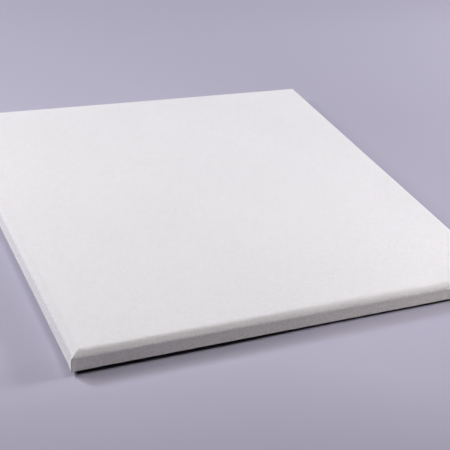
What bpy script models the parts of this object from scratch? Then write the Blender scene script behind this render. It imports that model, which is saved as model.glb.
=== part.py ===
"""Square acoustic panel for a wall. A mitred timber frame holds a mineral wool slab. Woven fabric is
wrapped over a thin fleece liner and the frame's bevelled front edge, and turned in at the back as a
hem. A dust cover closes the back, and two D-ring hangers and four rubber bumpers are screwed on.

It lies face up, as on a table. +Z points out of the front and +Y to the edge that hangs uppermost.
The origin is under the middle of the back, level with the bumpers' feet. Sizes are in metres."""

import math

import bmesh
import bpy
from mathutils import Matrix

# Panel: the square over the fabric, the height of the wrapped body, the front bevel (45 degrees)
# and the rounding of the upright corners
PANEL_SIDE = 0.600
BODY_HEIGHT = 0.024
BEVEL = 0.0065
CORNER_ROUNDING = 0.004

# Gap left between two pieces that touch
GAP = 0.0003

# Sheets. The hem is measured from the panel's side, and so is the dust cover's edge
FABRIC_THICKNESS = 0.0009
LINER_THICKNESS = 0.0015
DUST_COVER_THICKNESS = 0.0005
HEM_WIDTH = 0.026
DUST_COVER_INSET = 0.006

# Timber. A block's legs lie along two rails, and its front stays back from the liner
RAIL_WIDTH = 0.030
BLOCK_LEG = 0.055
BLOCK_RECESS = 0.002

# Screws through the corner blocks: how far from the corner, the wood under the head, the shank
# and the bore that lets the head in
BLOCK_SCREW_OFFSET = 0.034
BLOCK_SCREW_GRIP = 0.010
BLOCK_SCREW_LENGTH = 0.026
BLOCK_SCREW_RADIUS = 0.0020
BLOCK_HEAD_RADIUS = 0.0036
BLOCK_HEAD_HEIGHT = 0.0024
BLOCK_BORE_RADIUS = 0.0045

# Short screws for the hangers and the bumpers
SHORT_SCREW_LENGTH = 0.014
SHORT_SCREW_RADIUS = 0.0015
SHORT_HEAD_RADIUS = 0.0030
SHORT_HEAD_HEIGHT = 0.0016

# How long a screw's point is, as a multiple of the shank's radius
POINT_SLENDERNESS = 2.0

# D-ring hangers. The eye is rolled from the strap round the ring's straight bar
HANGER_FROM_TOP = 0.130
RING_WIRE_RADIUS = 0.0009
RING_HALF_WIDTH = 0.008
RING_ARM = 0.003
RING_BEND = 0.0015
RING_ABOVE_BENCH = 0.0001
EYE_CLEARANCE = 0.00015
EYE_SWEEP = math.radians(290)
STRAP_WIDTH = 0.010
STRAP_THICKNESS = 0.0007
STRAP_FIRST_SCREW = 0.0065
STRAP_SCREW_PITCH = 0.009
STRAP_TAIL = 0.0055
STRAP_CORNER = 0.003

# Rubber bumpers, a little taller than the eye that they keep off the wall
BUMPER_FROM_END = 0.050
BUMPER_MARGIN = 0.0004
BUMPER_RADIUS = 0.0065
BUMPER_FOOT_RADIUS = 0.0056
BUMPER_RECESS_RADIUS = 0.0038
BUMPER_HEAD_COVER = 0.0005

# Staples through dust cover and hem into the rails
STAPLES_PER_SIDE = 5
STAPLE_FROM_END = 0.068
STAPLE_INSET = 0.003
STAPLE_CROWN = 0.010
STAPLE_LEG = 0.008
STAPLE_WIRE_WIDTH = 0.0012
STAPLE_WIRE_THICKNESS = 0.0006

# Facets
TURNED_STEPS = 16
CORNER_SEGMENTS = 3
ARC_STEP = math.radians(15)

# How far a cutter runs past what it cuts
OVERRUN = 0.002

# Levels, from the bench up
EYE_RADIUS = RING_WIRE_RADIUS + EYE_CLEARANCE + STRAP_THICKNESS
BUMPER_HEIGHT = 2 * EYE_RADIUS + BUMPER_MARGIN
DUST_COVER_LOW = BUMPER_HEIGHT + GAP
DUST_COVER_HIGH = DUST_COVER_LOW + DUST_COVER_THICKNESS
HEM_LOW = DUST_COVER_HIGH + GAP
WOOD_LOW = HEM_LOW + FABRIC_THICKNESS + GAP
FRONT = HEM_LOW + BODY_HEIGHT
LINER_HIGH = FRONT - FABRIC_THICKNESS - GAP
LINER_LOW = LINER_HIGH - LINER_THICKNESS
WOOD_HIGH = LINER_LOW - GAP
BLOCK_HIGH = WOOD_HIGH - BLOCK_RECESS
PIVOT_HEIGHT = BUMPER_HEIGHT - EYE_RADIUS

# Distances from the middle
HALF_SIDE = PANEL_SIDE / 2
WOOD_HALF = HALF_SIDE - FABRIC_THICKNESS - GAP
WOOD_ROUNDING = CORNER_ROUNDING - FABRIC_THICKNESS - GAP
RAIL_INNER = WOOD_HALF - RAIL_WIDTH
RAIL_MIDDLE = WOOD_HALF - RAIL_WIDTH / 2
DUST_COVER_HALF = HALF_SIDE - DUST_COVER_INSET
STAPLE_LINE = DUST_COVER_HALF - STAPLE_INSET
BLOCK_CORNER = RAIL_INNER - GAP
HANGER_Y = HALF_SIDE - HANGER_FROM_TOP
BUMPER_Y = HALF_SIDE - BUMPER_FROM_END

QUARTER_TURN = math.pi / 2
SIDES = ("bottom", "right", "top", "left")
CORNERS = ("top_right", "top_left", "bottom_left", "bottom_right")


def clear_scene():
    for old in list(bpy.data.objects):
        bpy.data.objects.remove(old, do_unlink=True)


def new_collection(name):
    made = bpy.data.collections.new(name)
    bpy.context.scene.collection.children.link(made)
    return made


def new_material(name, colour, roughness, metallic=0.0):
    made = bpy.data.materials.new(name)
    made.use_nodes = True
    made.diffuse_color = (*colour, 1.0)
    shader = made.node_tree.nodes["Principled BSDF"]
    shader.inputs["Base Color"].default_value = (*colour, 1.0)
    shader.inputs["Roughness"].default_value = roughness
    shader.inputs["Metallic"].default_value = metallic
    return made


def add_part(name, data, material, location=(0, 0, 0), rotation=(0, 0, 0)):
    """A named sub-part of the panel, held by the panel's empty."""
    part = bpy.data.objects.new(name, data)
    if not data.materials:
        data.materials.append(material)
    part.location = location
    part.rotation_euler = rotation
    part.parent = PANEL
    PARTS.objects.link(part)
    return part


def add_cutter(name, data):
    cutter = bpy.data.objects.new(name, data)
    cutter.hide_render = True
    cutter.display_type = "WIRE"
    cutter.parent = PANEL
    CUTTERS.objects.link(cutter)
    return cutter


def boolean(part, cutter, operation="DIFFERENCE"):
    modifier = part.modifiers.new(cutter.name, "BOOLEAN")
    modifier.operation = operation
    modifier.solver = "EXACT"
    modifier.object = cutter


def mesh_of(name, work):
    mesh = bpy.data.meshes.new(name)
    work.to_mesh(mesh)
    work.free()
    return mesh


def add_box(work, low, high):
    """A box between two corners, added to a bmesh."""
    size = [b - a for a, b in zip(low, high)]
    middle = [(a + b) / 2 for a, b in zip(low, high)]
    place = Matrix.Translation(middle) @ Matrix.Diagonal((*size, 1))
    return bmesh.ops.create_cube(work, size=1, matrix=place)["verts"]


def add_rod(work, place, radius, length):
    """A cylinder whose foot is at the origin of place and which runs along its +Z."""
    bmesh.ops.create_cone(
        work,
        cap_ends=True,
        segments=TURNED_STEPS,
        radius1=radius,
        radius2=radius,
        depth=length,
        matrix=place @ Matrix.Translation((0, 0, length / 2)),
    )


def square_sheet(name, half, low, high):
    work = bmesh.new()
    add_box(work, (-half, -half, low), (half, half, high))
    return mesh_of(name, work)


def bevelled_block(name, half, low, high, depth, rounding):
    """A square block with upright corners of this rounding. Its bevel is parallel to the panel's
    front bevel, at this depth under the fabric's face."""
    bevel_plane = HALF_SIDE + FRONT - BEVEL - depth * math.sqrt(2)
    work = bmesh.new()
    add_box(work, (-half, -half, low), (half, half, high))
    front_edges = [e for e in work.edges if all(v.co.z > (low + high) / 2 for v in e.verts)]
    bmesh.ops.bevel(
        work,
        geom=front_edges,
        offset=half + high - bevel_plane,
        offset_type="OFFSET",
        segments=1,
        affect="EDGES",
    )
    corner_edges = [e for e in work.edges if abs(e.verts[0].co.z - e.verts[1].co.z) > GAP]
    bmesh.ops.bevel(
        work,
        geom=corner_edges,
        offset=rounding,
        offset_type="OFFSET",
        segments=CORNER_SEGMENTS,
        profile=0.5,
        affect="EDGES",
    )
    return mesh_of(name, work)


def arc(centre, radius, start, end):
    """Points along an arc, both ends included, in steps of at most ARC_STEP."""
    steps = math.ceil(abs(end - start) / ARC_STEP)
    angles = [start + (end - start) * i / steps for i in range(steps + 1)]
    x, y = centre
    return [(x + radius * math.cos(a), y + radius * math.sin(a)) for a in angles]


def flat_outline(name, points, thickness):
    """The mesh of a flat outline in XY, with its thickness along Z, half to each side."""
    curve = bpy.data.curves.new(name, "CURVE")
    curve.dimensions = "2D"
    curve.fill_mode = "BOTH"
    curve.extrude = thickness / 2
    spline = curve.splines.new("POLY")
    spline.points.add(len(points) - 1)
    for point, (x, y) in zip(spline.points, points):
        point.co = (x, y, 0, 1)
    spline.use_cyclic_u = True
    guide = bpy.data.objects.new(name, curve)
    CUTTERS.objects.link(guide)
    graph = bpy.context.evaluated_depsgraph_get()
    mesh = bpy.data.meshes.new_from_object(guide.evaluated_get(graph))
    bpy.data.objects.remove(guide, do_unlink=True)
    bpy.data.curves.remove(curve)
    work = bmesh.new()
    work.from_mesh(mesh)
    bmesh.ops.remove_doubles(work, verts=work.verts, dist=0.000001)
    bmesh.ops.recalc_face_normals(work, faces=work.faces)
    work.to_mesh(mesh)
    work.free()
    mesh.name = name
    return mesh


def turned(name, profile):
    """A profile of (radius, height) points, turned about Z. It runs down the outer side."""
    mesh = bpy.data.meshes.new(name)
    edges = [(i, i + 1) for i in range(len(profile) - 1)]
    if profile[0][0] > 0:
        edges.append((len(profile) - 1, 0))
    mesh.from_pydata([(r, 0, z) for r, z in profile], edges, [])
    return mesh


def turn(part):
    modifier = part.modifiers.new("turn", "SCREW")
    modifier.axis = "Z"
    modifier.steps = TURNED_STEPS
    modifier.render_steps = TURNED_STEPS
    modifier.use_merge_vertices = True
    modifier.merge_threshold = 0.00001
    modifier.use_smooth_shade = True


def screw_profile(radius, length, head_radius, head_height):
    """A screw that stands on its head, whose underside is at height 0, with its point at the top."""
    point = radius * POINT_SLENDERNESS
    crown = head_radius - head_height / 2
    return [
        (0, length),
        (radius, length - point),
        (radius, 0),
        (head_radius, 0),
        (head_radius, -head_height / 2),
        (crown, -head_height),
        (0, -head_height),
    ]


def hanger_sides():
    """Name and X of each hanger."""
    return (("left", -RAIL_MIDDLE), ("right", RAIL_MIDDLE))


def hanger_screw_places():
    """Name and place of each hanger screw, under its head."""
    height = BUMPER_HEIGHT - STRAP_THICKNESS
    for side, x in hanger_sides():
        yield f"{side}_upper", (x, HANGER_Y - STRAP_FIRST_SCREW, height)
        yield f"{side}_lower", (x, HANGER_Y - STRAP_FIRST_SCREW - STRAP_SCREW_PITCH, height)


def bumper_places():
    for name in CORNERS:
        x = RAIL_MIDDLE if name.endswith("right") else -RAIL_MIDDLE
        y = BUMPER_Y if name.startswith("top") else -BUMPER_Y
        yield name, (x, y, 0)


def staple_places():
    """Name, place and turn of each staple. The bottom row is turned about Z to the other sides."""
    span = 2 * (HALF_SIDE - STAPLE_FROM_END)
    for k, side in enumerate(SIDES):
        spin = Matrix.Rotation(k * QUARTER_TURN, 4, "Z")
        for i in range(STAPLES_PER_SIDE):
            along = span * (i / (STAPLES_PER_SIDE - 1) - 0.5)
            place = spin @ Matrix.Translation((along, -STAPLE_LINE, 0))
            yield f"staple_{side}_{i + 1}", place, k * QUARTER_TURN


def block_screw_frames():
    """Name and frame of each block screw. Its origin is at the rail's inner face, its +Z runs into
    the rail."""
    height = (WOOD_LOW + BLOCK_HIGH) / 2
    along = BLOCK_CORNER - BLOCK_SCREW_OFFSET
    into_top = Matrix.Translation((along, BLOCK_CORNER, height)) @ Matrix.Rotation(-QUARTER_TURN, 4, "X")
    into_right = Matrix.Translation((BLOCK_CORNER, along, height)) @ Matrix.Rotation(QUARTER_TURN, 4, "Y")
    for k, corner in enumerate(CORNERS):
        spin = Matrix.Rotation(k * QUARTER_TURN, 4, "Z")
        yield f"block_screw_{corner}_a", spin @ into_top
        yield f"block_screw_{corner}_b", spin @ into_right


def make_fastener_holes():
    """Holes for every screw and staple that is driven upwards from the back."""
    work = bmesh.new()
    radius = SHORT_SCREW_RADIUS + GAP
    for _, (x, y, z) in hanger_screw_places():
        add_rod(work, Matrix.Translation((x, y, 0)), radius, z + SHORT_SCREW_LENGTH + GAP)
    bearing = SHORT_HEAD_HEIGHT + BUMPER_HEAD_COVER
    for _, (x, y, _) in bumper_places():
        add_rod(work, Matrix.Translation((x, y, 0)), radius, bearing + SHORT_SCREW_LENGTH + GAP)
    half_width = STAPLE_WIRE_WIDTH / 2 + GAP
    outer = STAPLE_CROWN / 2 + GAP
    inner = STAPLE_CROWN / 2 - STAPLE_WIRE_THICKNESS - GAP
    top = BUMPER_HEIGHT - STAPLE_WIRE_THICKNESS + STAPLE_LEG + GAP
    for _, place, _ in staple_places():
        for side in (-1, 1):
            x_low, x_high = sorted((side * inner, side * outer))
            leg = add_box(work, (x_low, -half_width, 0), (x_high, half_width, top))
            bmesh.ops.transform(work, matrix=place, verts=leg)
    return add_cutter("fastener_holes", mesh_of("fastener_holes", work))


def make_block_bores():
    """The bores for the corner blocks' screws, and the wider bores that let their heads in. The two
    screws of a corner have separate cutters, because their bores may cross."""
    shank_back = BLOCK_SCREW_GRIP + OVERRUN
    head_back = BLOCK_LEG - BLOCK_SCREW_OFFSET + BLOCK_BORE_RADIUS + OVERRUN
    shank_bores = []
    head_bores = []
    for letter in ("a", "b"):
        shanks = bmesh.new()
        heads = bmesh.new()
        for name, frame in block_screw_frames():
            if not name.endswith(letter):
                continue
            start = frame @ Matrix.Translation((0, 0, -shank_back))
            add_rod(shanks, start, BLOCK_SCREW_RADIUS + GAP, OVERRUN + BLOCK_SCREW_LENGTH + GAP)
            mouth = frame @ Matrix.Translation((0, 0, -head_back))
            add_rod(heads, mouth, BLOCK_BORE_RADIUS, head_back - BLOCK_SCREW_GRIP)
        shank_name = f"block_screw_bores_{letter}"
        head_name = f"block_head_bores_{letter}"
        shank_bores.append(add_cutter(shank_name, mesh_of(shank_name, shanks)))
        head_bores.append(add_cutter(head_name, mesh_of(head_name, heads)))
    return shank_bores, head_bores


def make_rails(timber, fastener_holes, shank_bores):
    """Four mitred bars, trimmed to the bevelled and rounded outline that the liner lies on."""
    depth = HALF_SIDE - WOOD_HALF + LINER_THICKNESS + GAP
    outline = bevelled_block(
        "frame_outline", WOOD_HALF, WOOD_LOW, WOOD_HIGH, depth, WOOD_ROUNDING
    )
    envelope = add_cutter("frame_outline", outline)
    work = bmesh.new()
    outer = WOOD_HALF + OVERRUN
    add_box(work, (-outer, -outer, WOOD_LOW - OVERRUN), (outer, -RAIL_INNER, WOOD_HIGH + OVERRUN))
    for vert in work.verts:
        mitre = -vert.co.y - GAP / math.sqrt(2)
        vert.co.x = math.copysign(mitre, vert.co.x)
    bar = mesh_of("rail", work)
    for k, side in enumerate(SIDES):
        rail = add_part(f"rail_{side}", bar, timber, rotation=(0, 0, k * QUARTER_TURN))
        boolean(rail, envelope, "INTERSECT")
        boolean(rail, fastener_holes)
        for bores in shank_bores:
            boolean(rail, bores)


def make_corner_blocks(timber, steel, shank_bores, head_bores):
    """A triangular block in each inner corner, and its two screws."""
    height = BLOCK_HIGH - WOOD_LOW
    c = BLOCK_CORNER
    outline = [(c, c), (c - BLOCK_LEG, c), (c, c - BLOCK_LEG)]
    block_mesh = flat_outline("corner_block", outline, height)
    for k, corner in enumerate(CORNERS):
        block = add_part(
            f"corner_block_{corner}",
            block_mesh,
            timber,
            location=(0, 0, WOOD_LOW + height / 2),
            rotation=(0, 0, k * QUARTER_TURN),
        )
        for bores in shank_bores + head_bores:
            boolean(block, bores)
    profile = screw_profile(
        BLOCK_SCREW_RADIUS, BLOCK_SCREW_LENGTH, BLOCK_HEAD_RADIUS, BLOCK_HEAD_HEIGHT
    )
    screw_mesh = turned("block_screw", profile)
    for name, frame in block_screw_frames():
        place = frame @ Matrix.Translation((0, 0, -BLOCK_SCREW_GRIP - GAP))
        screw = add_part(
            name, screw_mesh, steel, location=place.to_translation(), rotation=place.to_euler()
        )
        turn(screw)


def make_core(wool):
    """The slab fills the frame. Its corners are cropped along the corner blocks."""
    half = RAIL_INNER - GAP
    work = bmesh.new()
    add_box(work, (-half, -half, WOOD_LOW), (half, half, WOOD_HIGH))
    upright = [e for e in work.edges if abs(e.verts[0].co.z - e.verts[1].co.z) > GAP]
    crop = BLOCK_LEG + GAP * math.sqrt(2)
    bmesh.ops.bevel(
        work, geom=upright, offset=crop, offset_type="OFFSET", segments=1, affect="EDGES"
    )
    add_part("wool_core", mesh_of("wool_core", work), wool)


def make_liner(fleece):
    """A sheet over the front and the bevel, down to the frame's upright sides."""
    depth = FABRIC_THICKNESS + GAP
    half = WOOD_HALF + OVERRUN
    low = WOOD_LOW - OVERRUN
    under_depth = depth + LINER_THICKNESS
    sheet = bevelled_block("face_liner", WOOD_HALF, WOOD_LOW, LINER_HIGH, depth, WOOD_ROUNDING)
    under = bevelled_block("under_liner", half, low, LINER_LOW, under_depth, WOOD_ROUNDING)
    boolean(add_part("face_liner", sheet, fleece), add_cutter("under_liner", under))


def make_cover(fabric, fastener_holes):
    """The fabric over front, bevels and sides, turned in at the back as a hem."""
    t = FABRIC_THICKNESS
    inner = CORNER_ROUNDING - t
    wrapped = bevelled_block("fabric_cover", HALF_SIDE, HEM_LOW, FRONT, 0, CORNER_ROUNDING)
    inside = bevelled_block("inside_cover", HALF_SIDE - t, HEM_LOW + t, FRONT - t, t, inner)
    window = square_sheet("hem_window", HALF_SIDE - HEM_WIDTH, HEM_LOW - OVERRUN, WOOD_LOW + OVERRUN)
    cover = add_part("fabric_cover", wrapped, fabric)
    boolean(cover, add_cutter("inside_cover", inside))
    boolean(cover, add_cutter("hem_window", window))
    boolean(cover, fastener_holes)


def make_dust_cover(black_felt, fastener_holes):
    sheet = square_sheet("dust_cover", DUST_COVER_HALF, DUST_COVER_LOW, DUST_COVER_HIGH)
    boolean(add_part("dust_cover", sheet, black_felt), fastener_holes)


def strap_outline():
    """The strap from its side, with the eye's centre at the origin: a flat tongue along -X at the
    top, and a roll that starts at the top, goes down the far side and comes back under."""
    outer = EYE_RADIUS
    inner = EYE_RADIUS - STRAP_THICKNESS
    length = STRAP_FIRST_SCREW + STRAP_SCREW_PITCH + STRAP_TAIL
    end = QUARTER_TURN - EYE_SWEEP
    roll = arc((0, 0), outer, QUARTER_TURN, end)
    back = arc((0, 0), inner, end, QUARTER_TURN)
    return [(-length, inner), (-length, outer)] + roll + back


def make_strap_mesh():
    mesh = flat_outline("hanger_strap", strap_outline(), STRAP_WIDTH)
    work = bmesh.new()
    work.from_mesh(mesh)
    tail = min(v.co.x for v in work.verts)
    corners = [
        e
        for e in work.edges
        if all(v.co.x < tail + GAP for v in e.verts) and abs(e.verts[0].co.y - e.verts[1].co.y) > GAP
    ]
    bmesh.ops.bevel(
        work,
        geom=corners,
        offset=STRAP_CORNER,
        offset_type="OFFSET",
        segments=CORNER_SEGMENTS,
        profile=0.5,
        affect="EDGES",
    )
    work.to_mesh(mesh)
    work.free()
    return mesh


def ring_curve():
    """A D: its straight bar on the X axis, two short arms, and a half circle for the bow."""
    w = RING_HALF_WIDTH
    b = RING_BEND
    right = arc((w - b, b), b, -QUARTER_TURN, 0)
    bow = arc((0, RING_ARM), w, 0, 2 * QUARTER_TURN)
    left = arc((b - w, b), b, 2 * QUARTER_TURN, 3 * QUARTER_TURN)
    points = right + bow + left
    curve = bpy.data.curves.new("hanger_ring", "CURVE")
    curve.dimensions = "3D"
    curve.bevel_depth = RING_WIRE_RADIUS
    curve.bevel_resolution = 2
    spline = curve.splines.new("POLY")
    spline.points.add(len(points) - 1)
    for point, (x, y) in zip(spline.points, points):
        point.co = (x, y, 0, 1)
    spline.use_cyclic_u = True
    return curve


def make_hangers(steel, fastener_holes):
    """Two hangers on the side rails. Each ring hangs from its eye until its bow is just above the
    bench, and its origin is on the bar's axis, where it turns."""
    reach = RING_ARM + RING_HALF_WIDTH
    drop = math.asin((PIVOT_HEIGHT - RING_WIRE_RADIUS - RING_ABOVE_BENCH) / reach)
    strap_mesh = make_strap_mesh()
    wire = ring_curve()
    for side, x in hanger_sides():
        pivot = (x, HANGER_Y, PIVOT_HEIGHT)
        strap = add_part(
            f"hanger_strap_{side}", strap_mesh, steel, pivot, (QUARTER_TURN, 0, QUARTER_TURN)
        )
        boolean(strap, fastener_holes)
        add_part(f"hanger_ring_{side}", wire, steel, pivot, (-drop, 0, 0))
    print(f"rings hang {math.degrees(drop):.2f} degrees down, {reach * 1000:.1f} mm long")


def short_screw_mesh():
    profile = screw_profile(
        SHORT_SCREW_RADIUS, SHORT_SCREW_LENGTH, SHORT_HEAD_RADIUS, SHORT_HEAD_HEIGHT
    )
    return turned("short_screw", profile)


def make_hanger_screws(screw_mesh, steel):
    for name, (x, y, z) in hanger_screw_places():
        turn(add_part(f"hanger_screw_{name}", screw_mesh, steel, (x, y, z - GAP)))


def make_bumpers(screw_mesh, rubber, steel):
    """Turned rubber feet. The screw's head lies in a recess, clear of the wall."""
    bearing = SHORT_HEAD_HEIGHT + BUMPER_HEAD_COVER
    bore = SHORT_SCREW_RADIUS + GAP
    bumper_mesh = turned(
        "bumper",
        [
            (bore, BUMPER_HEIGHT),
            (BUMPER_RADIUS, BUMPER_HEIGHT),
            (BUMPER_FOOT_RADIUS, 0),
            (BUMPER_RECESS_RADIUS, 0),
            (BUMPER_RECESS_RADIUS, bearing),
            (bore, bearing),
        ],
    )
    for name, (x, y, z) in bumper_places():
        turn(add_part(f"bumper_{name}", bumper_mesh, rubber, (x, y, z)))
        turn(add_part(f"bumper_screw_{name}", screw_mesh, steel, (x, y, bearing - GAP)))


def make_staples(steel):
    """Each staple is a U of flat wire. Its crown lies under the dust cover, its legs point up."""
    half = STAPLE_CROWN / 2
    wire = STAPLE_WIRE_THICKNESS
    outline = [
        (-half, 0),
        (half, 0),
        (half, STAPLE_LEG),
        (half - wire, STAPLE_LEG),
        (half - wire, wire),
        (wire - half, wire),
        (wire - half, STAPLE_LEG),
        (-half, STAPLE_LEG),
    ]
    staple_mesh = flat_outline("staple", outline, STAPLE_WIRE_WIDTH)
    for name, place, spin in staple_places():
        x, y, _ = place.to_translation()
        height = BUMPER_HEIGHT - wire
        add_part(name, staple_mesh, steel, (x, y, height), (QUARTER_TURN, 0, spin))


clear_scene()
PARTS = new_collection("acoustic_panel")
CUTTERS = new_collection("cutters")
CUTTERS.hide_render = True
PANEL = bpy.data.objects.new("acoustic_panel", None)
PARTS.objects.link(PANEL)

fabric = new_material("white_fabric", (0.80, 0.79, 0.80), 0.95)
fleece = new_material("fleece", (0.86, 0.86, 0.84), 1.0)
wool = new_material("mineral_wool", (0.55, 0.47, 0.22), 1.0)
timber = new_material("timber", (0.62, 0.45, 0.28), 0.7)
black_felt = new_material("black_felt", (0.02, 0.02, 0.022), 0.95)
rubber = new_material("rubber", (0.03, 0.03, 0.03), 0.8)
zinc = new_material("zinc_plated_steel", (0.62, 0.63, 0.64), 0.35, 1.0)
staple_steel = new_material("staple_steel", (0.55, 0.55, 0.56), 0.45, 1.0)

holes = make_fastener_holes()
shank_bores, head_bores = make_block_bores()
make_rails(timber, holes, shank_bores)
make_corner_blocks(timber, zinc, shank_bores, head_bores)
make_core(wool)
make_liner(fleece)
make_cover(fabric, holes)
make_dust_cover(black_felt, holes)
make_hangers(zinc, holes)
short_screw = short_screw_mesh()
make_hanger_screws(short_screw, zinc)
make_bumpers(short_screw, rubber, zinc)
make_staples(staple_steel)
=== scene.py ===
"""Looks of a square acoustic panel: woven cloth stretched over a mitred timber frame and a slab of
mineral wool, with a black dust cover, two D-ring hangers and four rubber bumpers on its back.

The panel lies face up. +Z points out of its front. Sizes are in metres."""

import math

import bmesh
import bpy
import numpy as np
from mathutils import Matrix, Vector


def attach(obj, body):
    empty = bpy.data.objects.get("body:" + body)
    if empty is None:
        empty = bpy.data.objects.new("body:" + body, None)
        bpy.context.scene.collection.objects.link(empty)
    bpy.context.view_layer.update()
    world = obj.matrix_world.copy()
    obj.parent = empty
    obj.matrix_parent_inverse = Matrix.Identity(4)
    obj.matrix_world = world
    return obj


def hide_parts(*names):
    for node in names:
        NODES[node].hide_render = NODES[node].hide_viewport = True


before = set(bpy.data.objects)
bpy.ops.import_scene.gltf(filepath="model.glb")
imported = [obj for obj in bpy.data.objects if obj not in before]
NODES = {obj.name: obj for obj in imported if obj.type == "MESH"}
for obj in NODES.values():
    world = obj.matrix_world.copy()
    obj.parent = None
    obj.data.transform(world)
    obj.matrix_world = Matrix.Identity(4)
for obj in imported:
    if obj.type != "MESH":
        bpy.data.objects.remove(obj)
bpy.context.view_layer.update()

SIDES = ("bottom", "right", "top", "left")
CORNERS = ("top_right", "top_left", "bottom_left", "bottom_right")
QUARTER = math.pi / 2
TURN = 2 * math.pi
MM = 0.001

# The wrapped body: half its side over the cloth, its front, its bevel and where the hem lies
HALF_SIDE = 300 * MM
FRONT = 29 * MM
BEVEL = 6.5 * MM
HEM_LOW = 5 * MM
HEM_EDGE = 274 * MM
FRONT_ROUNDING = 0.8 * MM
FOLDED_ROUNDING = 1.2 * MM
CLOTH_THICKNESS = 0.9 * MM
LINER_PRESSED = 1.2 * MM
LINER_FRONT = 27.8 * MM
FLAT_HALF = 285 * MM

# The cloth's profile: the radii of the bevel's crest and lower edge where it is tight and where it
# is soft, and the level of the side's middle
TIGHT_RADII = (6.5 * MM, 3.5 * MM)
SOFT_RADII = (13 * MM, 9 * MM)
SIDE_MIDDLE = 14 * MM

# The relief of its sides: waves, scallop between staples, belly and the hollow above it, and the
# lapped fold, which stands out past the corner at its top and its foot and droops there
WAVE = 0.11 * MM
SCALLOP = 0.08 * MM
BELLY = 1.10 * MM
HOLLOW = 0.15 * MM
LAP = 0.45 * MM
TIP_TOP = 2.8 * MM
TIP_FOOT = 1.0 * MM
TIP_DROOP = 1.3 * MM

# The share of that tip at each corner: near left, near right, far right, far left
CORNER_SHARES = (1.0, 0.6, 0.15, 0.6)

# Levels and lines behind the hem
WOOD_LOW = 6.2 * MM
WOOD_HIGH = 26.0 * MM
BLOCK_HIGH = 24.0 * MM
RAIL_INNER = 268.8 * MM
RAIL_MIDDLE = 283.8 * MM
BLOCK_CORNER = 268.5 * MM
BLOCK_LEG = 55 * MM
DUST_COVER_HALF = 297 * MM
DUST_COVER_HIGH = 4.7 * MM
DUST_COVER_THICKNESS = 0.5 * MM
STAPLE_LINE = 291 * MM
STAPLE_PITCH = 29 * MM
STAPLES_IN_ROW = 17
CROWN_TOP = 3.95 * MM
BUMPER_Y = 250 * MM
BUMPER_HEIGHT = 3.9 * MM
HANGER_Y = 170 * MM
PIVOT_HEIGHT = 2.15 * MM
RING_DROP = math.radians(6.0)

# Screws: length, radius, head's radius, head's height and pitch of the thread
BLOCK_SCREW = (26 * MM, 2.0 * MM, 3.6 * MM, 2.4 * MM, 1.8 * MM)
SHORT_SCREW = (14 * MM, 1.5 * MM, 3.0 * MM, 1.6 * MM, 1.15 * MM)

# The backdrop's shade, and the middle of the floor that the photograph shows
BACKDROP = (0.468, 0.445, 0.546, 1)
PICTURED = (0.20, 0.25, 0.0)


# Meshes


def grid_faces(rows, columns):
    """Quads between neighbours in a grid numbered row by row. A face's corners go along the row
    first, so it faces the way that (along the row) x (to the next row) points."""
    near = np.arange(rows - 1)[:, None] * columns + np.arange(columns - 1)
    return np.stack([near, near + 1, near + columns + 1, near + columns], axis=-1).reshape(-1, 4)


def new_mesh(name, grids, closed=False, weld=5e-6):
    """A mesh of (rows, columns, 3) grids, with its doubles merged. A closed one has its faces turned
    out. An open one keeps each point's place on the uncut cloth, which is a grid's X and Y unless it
    comes in a pair with its own."""
    points, faces, uvs, count = [], [], [], 0
    for grid in grids:
        grid, uv = grid if isinstance(grid, tuple) else (grid, grid[..., :2])
        quads = grid_faces(*grid.shape[:2])
        points.append(grid.reshape(-1, 3))
        uvs.append(uv.reshape(-1, 2)[quads].reshape(-1, 2))
        faces.append(quads + count)
        count += len(points[-1])
    points, faces, uvs = map(np.concatenate, (points, faces, uvs))
    mesh = bpy.data.meshes.new(name)
    mesh.vertices.add(count)
    mesh.vertices.foreach_set("co", points.astype(np.float32).ravel())
    mesh.loops.add(faces.size)
    mesh.loops.foreach_set("vertex_index", faces.astype(np.int32).ravel())
    mesh.polygons.add(len(faces))
    mesh.polygons.foreach_set("loop_start", np.arange(0, faces.size, 4, dtype=np.int32))
    mesh.update(calc_edges=True)
    if not closed:
        layer = mesh.uv_layers.new(name="cloth")
        layer.uv.foreach_set("vector", uvs.astype(np.float32).ravel())
    work = bmesh.new()
    work.from_mesh(mesh)
    bmesh.ops.remove_doubles(work, verts=work.verts, dist=weld)
    bmesh.ops.dissolve_degenerate(work, edges=work.edges, dist=weld / 5)
    if closed:
        bmesh.ops.recalc_face_normals(work, faces=work.faces)
    work.to_mesh(mesh)
    work.free()
    mesh.polygons.foreach_set("use_smooth", np.ones(len(mesh.polygons), dtype=bool))
    mesh.update()
    return mesh


def add_object(data):
    """An object in the scene, under the name of its data."""
    added = bpy.data.objects.new(data.name, data)
    bpy.context.scene.collection.objects.link(added)
    return added


def add_piece(mesh, material, nodes, body="panel"):
    """A piece of the panel that rides on a body and stands for CAD nodes."""
    mesh.materials.append(material)
    piece = add_object(mesh)
    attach(piece, body)
    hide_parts(*nodes)
    return piece


def give_thickness(piece, thickness, offset=-1.0):
    wall = piece.modifiers.new("thickness", "SOLIDIFY")
    wall.thickness = thickness
    wall.offset = offset
    wall.use_even_offset = True


def moved(points, matrix):
    """Points carried by a 4 x 4 matrix."""
    m = np.array(matrix)
    return points @ m[:3, :3].T + m[:3, 3]


def smooth_step(x):
    """0 below 0, 1 above 1, and an even ease between."""
    x = np.clip(x, 0.0, 1.0)
    return x * x * (3 - 2 * x)


def on_circle(angle):
    """Points of a circle of radius 1."""
    return np.stack([np.cos(angle), np.sin(angle)], axis=-1)


def run_along(line):
    """The distance of each point from the start of its line. Lines run down the first axis."""
    apart = np.linalg.norm(np.diff(line, axis=0), axis=-1)
    return np.concatenate([0 * apart[:1], np.cumsum(apart, axis=0)])


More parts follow.
